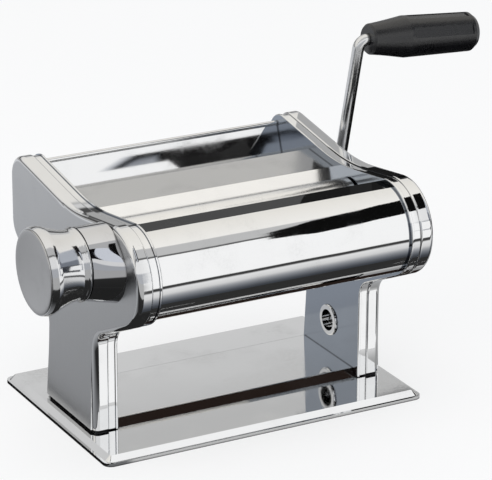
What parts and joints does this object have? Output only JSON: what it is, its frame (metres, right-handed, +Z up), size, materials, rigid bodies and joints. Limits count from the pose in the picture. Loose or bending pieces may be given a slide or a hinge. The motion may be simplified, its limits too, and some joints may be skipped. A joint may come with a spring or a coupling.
{
  "type": "pasta roller machine",
  "caption": "Hand-cranked pasta roller: chromed side frames on a flat base hold two smooth rollers, with a thickness knob on the left and a crank on the right.",
  "frame": {"origin": "middle of the base, on the table", "axes": "+X along the rollers towards the crank, +Y from the round front cover to the back wall, +Z up"},
  "size_m": [0.3253, 0.1657, 0.2019],
  "materials": {
    "chrome": "polished",
    "steel_sheet": "polished",
    "machined_steel": "machined",
    "roller": "satin",
    "scraper": "matte",
    "bushing": "satin",
    "fasteners": "zinc plated",
    "satin_face": "satin",
    "rubber": "matte",
    "gasket": "matte",
    "grip_plastic": "satin"
  },
  "bodies": {
    "housing": {"base_plate": "steel_sheet", "base_feet": "rubber", "leg_bridge_plate": "steel_sheet", "left_side_frame": "chrome", "right_side_frame": "chrome", "left_side_cover": "chrome", "right_side_cover": "chrome", "leg_gaskets": "gasket", "leg_screws": "fasteners", "leg_nuts": "fasteners", "front_drum_cover": "chrome", "feed_tray": "steel_sheet", "back_panel": "steel_sheet", "front_scraper": "scraper", "rear_scraper": "scraper", "tie_rods": "machined_steel", "tie_rod_screws": "fasteners", "cover_screws": "fasteners", "rear_roller_bushes": "bushing", "regulator_bushes": "bushing", "crank_shaft_bushes": "machined_steel", "idler_stud": "machined_steel", "idler_clip": "fasteners", "clamp_sleeves": "chrome", "knob_boss": "chrome", "index_plate": "machined_steel"},
    "rear_roller": {"rear_roller": "roller", "rear_roller_gear": "machined_steel"},
    "front_roller": {"front_roller": "roller", "front_roller_gear": "machined_steel"},
    "roller_bushes": {"roller_bushes": "bushing"},
    "idler": {"idler_gear": "machined_steel"},
    "crank_shaft": {"crank_shaft": "machined_steel", "crank_gear": "machined_steel"},
    "crank": {"crank_rod": "chrome", "grip_retainer": "fasteners"},
    "grip": {"crank_grip": "grip_plastic", "grip_end_cap": "grip_plastic"},
    "regulator": {"eccentric_shaft": "machined_steel", "shaft_nut": "fasteners"},
    "knob": {"knob_body": "chrome", "knob_face_disc": "satin_face", "index_pin": "machined_steel", "knob_spring": "machined_steel"}
  },
  "joints": [
    {"name": "crank_turn", "type": "hinge", "parent": "housing", "child": "crank_shaft", "pos_m": [0.0927, 0.034, 0.104], "axis": [1, 0, 0], "continuous": true},
    {"name": "crank_pull", "type": "slide", "parent": "crank_shaft", "child": "crank", "axis": [1, 0, 0], "range_m": [0, 0.02]},
    {"name": "grip_spin", "type": "hinge", "parent": "crank", "child": "grip", "pos_m": [0.1104, 0.02404, 0.19143], "axis": [0.9976, 0.0079, -0.0693], "continuous": true},
    {"name": "rear_roller_turn", "type": "hinge", "parent": "housing", "child": "rear_roller", "pos_m": [0, -0.02203, 0.11079], "axis": [1, 0, 0], "continuous": true},
    {"name": "idler_turn", "type": "hinge", "parent": "housing", "child": "idler", "pos_m": [0.0828, 0.00429, 0.09341], "axis": [1, 0, 0], "continuous": true},
    {"name": "knob_turn", "type": "hinge", "parent": "housing", "child": "regulator", "pos_m": [-0.0927, -0.053, 0.1164], "axis": [1, 0, 0], "range_deg": [0, 120]},
    {"name": "roller_bush_turn", "type": "hinge", "parent": "regulator", "child": "roller_bushes", "pos_m": [0, -0.0553, 0.11547], "axis": [1, 0, 0], "range_deg": [-120, 0]},
    {"name": "front_roller_turn", "type": "hinge", "parent": "roller_bushes", "child": "front_roller", "pos_m": [0, -0.0553, 0.11547], "axis": [1, 0, 0], "continuous": true},
    {"name": "knob_pull", "type": "slide", "parent": "regulator", "child": "knob", "axis": [-1, 0, 0], "range_m": [0, 0.005], "stiffness_N_per_m": 900, "springref_m": -0.003, "deforming": ["knob_spring"]}
  ],
  "couplings": [
    {"joint": "idler_turn", "follows": "crank_turn", "ratio": -0.875},
    {"joint": "rear_roller_turn", "follows": "crank_turn", "ratio": 1},
    {"joint": "front_roller_turn", "follows": "crank_turn", "ratio": -1},
    {"joint": "roller_bush_turn", "follows": "knob_turn", "ratio": -1}
  ]
}
